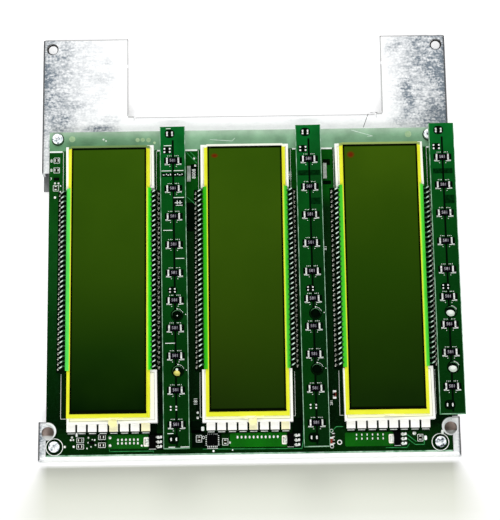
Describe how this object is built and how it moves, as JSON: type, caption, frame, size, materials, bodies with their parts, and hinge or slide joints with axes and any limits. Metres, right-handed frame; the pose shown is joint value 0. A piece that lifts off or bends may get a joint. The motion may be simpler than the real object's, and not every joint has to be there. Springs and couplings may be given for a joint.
{
  "type": "lcd display board",
  "caption": "Long reflective LCD modules side by side on a green circuit board with raised resistor strips, on a folded aluminium chassis with ears and corner holes.",
  "frame": {"origin": "centre of the four corner holes, on the rear face of the chassis sheet", "axes": "+Z out of the display faces, +Y towards the two ears, +X to the right seen from the front"},
  "size_m": [0.2105, 0.219, 0.0271],
  "materials": {
    "sheet_aluminium": "brushed, unfinished sheet with fine scratches",
    "plated_steel": "bright zinc-plated screws and standoffs",
    "main_board_laminate": "green solder mask over laminate, bare pale margin at the top",
    "strip_laminate": "green solder mask over laminate",
    "black_plastic": "moulded black connector body",
    "black_moulding": "black moulded package",
    "black_ceramic": "dark glazed top of a chip resistor",
    "brown_ceramic": "dark ceramic of small chip parts",
    "grey_ceramic": "light grey ceramic",
    "tinned_metal": "tinned leads, pins and end caps",
    "white_plastic": "white reflector plastic",
    "cream_plastic": "white plastic with a slight cream tint",
    "clear_guide": "light guide behind the diffuser",
    "led_white": "white LED bodies",
    "yellow_film": "yellow-green diffuser film",
    "display_glass": "clear display glass",
    "polariser_film": "dark olive polariser, smooth and glossy",
    "green_resin": "bright green cured resin",
    "seal_resin": "pale yellow cured resin"
  },
  "bodies": {
    "root": {"chassis": "sheet_aluminium", "standoffs": "plated_steel", "board_screws": "plated_steel", "main_board": "main_board_laminate", "strip_sockets": "black_plastic", "strip_headers": "black_plastic", "header_pins": "tinned_metal", "regulators": "black_moulding", "regulator_legs": "tinned_metal", "controller_chip": "black_moulding", "chip_parts": "brown_ceramic", "chip_part_ends": "tinned_metal", "small_transistors": "black_moulding", "long_chip_parts": "grey_ceramic", "rear_connectors": "black_plastic", "rear_connector_pins": "tinned_metal", "backlight_housing_1": "white_plastic", "light_guide_1": "clear_guide", "led_holder_1": "cream_plastic", "backlight_leds_1": "led_white", "diffuser_film_1": "yellow_film", "rear_glass_1": "display_glass", "front_glass_1": "display_glass", "polariser_1": "polariser_film", "edge_pins_1": "tinned_metal", "pin_resin_1": "green_resin", "fill_seal_1": "seal_resin", "strip_board_1": "strip_laminate", "strip_resistors_1": "black_ceramic", "resistor_ends_1": "tinned_metal", "backlight_housing_2": "white_plastic", "light_guide_2": "clear_guide", "led_holder_2": "cream_plastic", "backlight_leds_2": "led_white", "diffuser_film_2": "yellow_film", "rear_glass_2": "display_glass", "front_glass_2": "display_glass", "polariser_2": "polariser_film", "edge_pins_2": "tinned_metal", "pin_resin_2": "green_resin", "fill_seal_2": "seal_resin", "strip_board_2": "strip_laminate", "strip_resistors_2": "black_ceramic", "resistor_ends_2": "tinned_metal", "backlight_housing_3": "white_plastic", "light_guide_3": "clear_guide", "led_holder_3": "cream_plastic", "backlight_leds_3": "led_white", "diffuser_film_3": "yellow_film", "rear_glass_3": "display_glass", "front_glass_3": "display_glass", "polariser_3": "polariser_film", "edge_pins_3": "tinned_metal", "pin_resin_3": "green_resin", "fill_seal_3": "seal_resin", "strip_board_3": "strip_laminate", "strip_resistors_3": "black_ceramic", "resistor_ends_3": "tinned_metal"}
  },
  "joints": []
}
